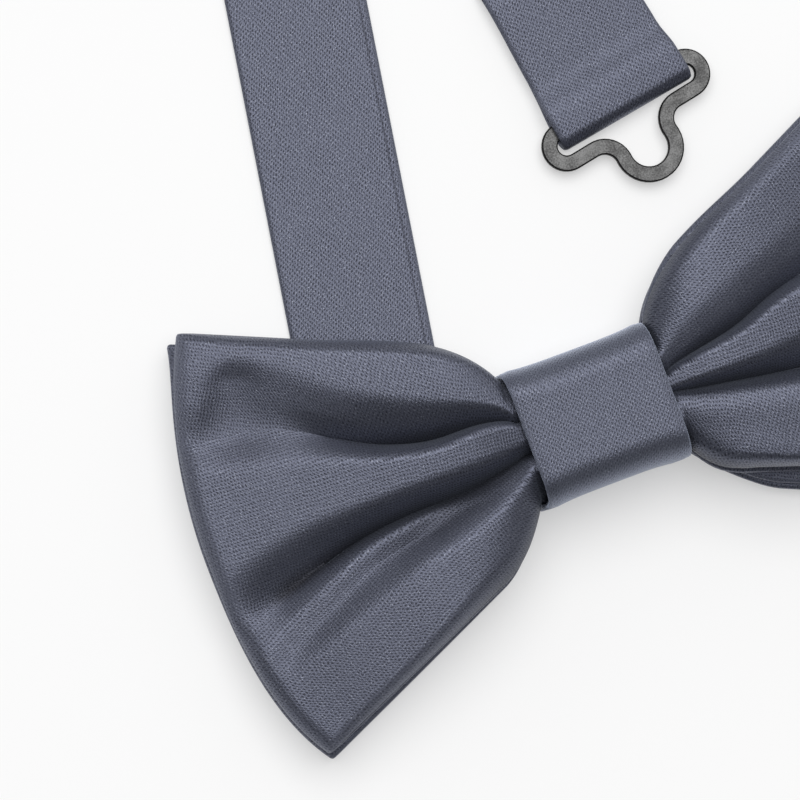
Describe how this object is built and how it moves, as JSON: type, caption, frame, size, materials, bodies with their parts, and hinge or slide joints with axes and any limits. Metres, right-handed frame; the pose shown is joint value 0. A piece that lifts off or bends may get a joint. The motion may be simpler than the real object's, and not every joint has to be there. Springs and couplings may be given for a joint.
{
  "type": "pre-tied bow tie",
  "caption": "Pre-tied satin bow tie with two looped bows, a wrapped knot and a flat neckband that ends in a metal eye and a hook, lying open on its back.",
  "frame": {"origin": "middle of the knot's flat back, on the surface that the bow tie lies on", "axes": "+X along the bow to its right wing, +Y up the bow's height, +Z out of its front"},
  "size_m": [0.1532, 0.2117, 0.0212],
  "materials": {
    "satin": "slate grey-blue satin, fine twill weave",
    "strap": "slate grey-blue satin, fine twill weave",
    "steel": "dark nickel plated, matt"
  },
  "bodies": {
    "root": {"bow_front": "satin", "bow_back": "satin", "knot": "satin", "neckband": "strap", "clasp_eye": "steel", "clasp_hook": "steel"}
  },
  "joints": []
}
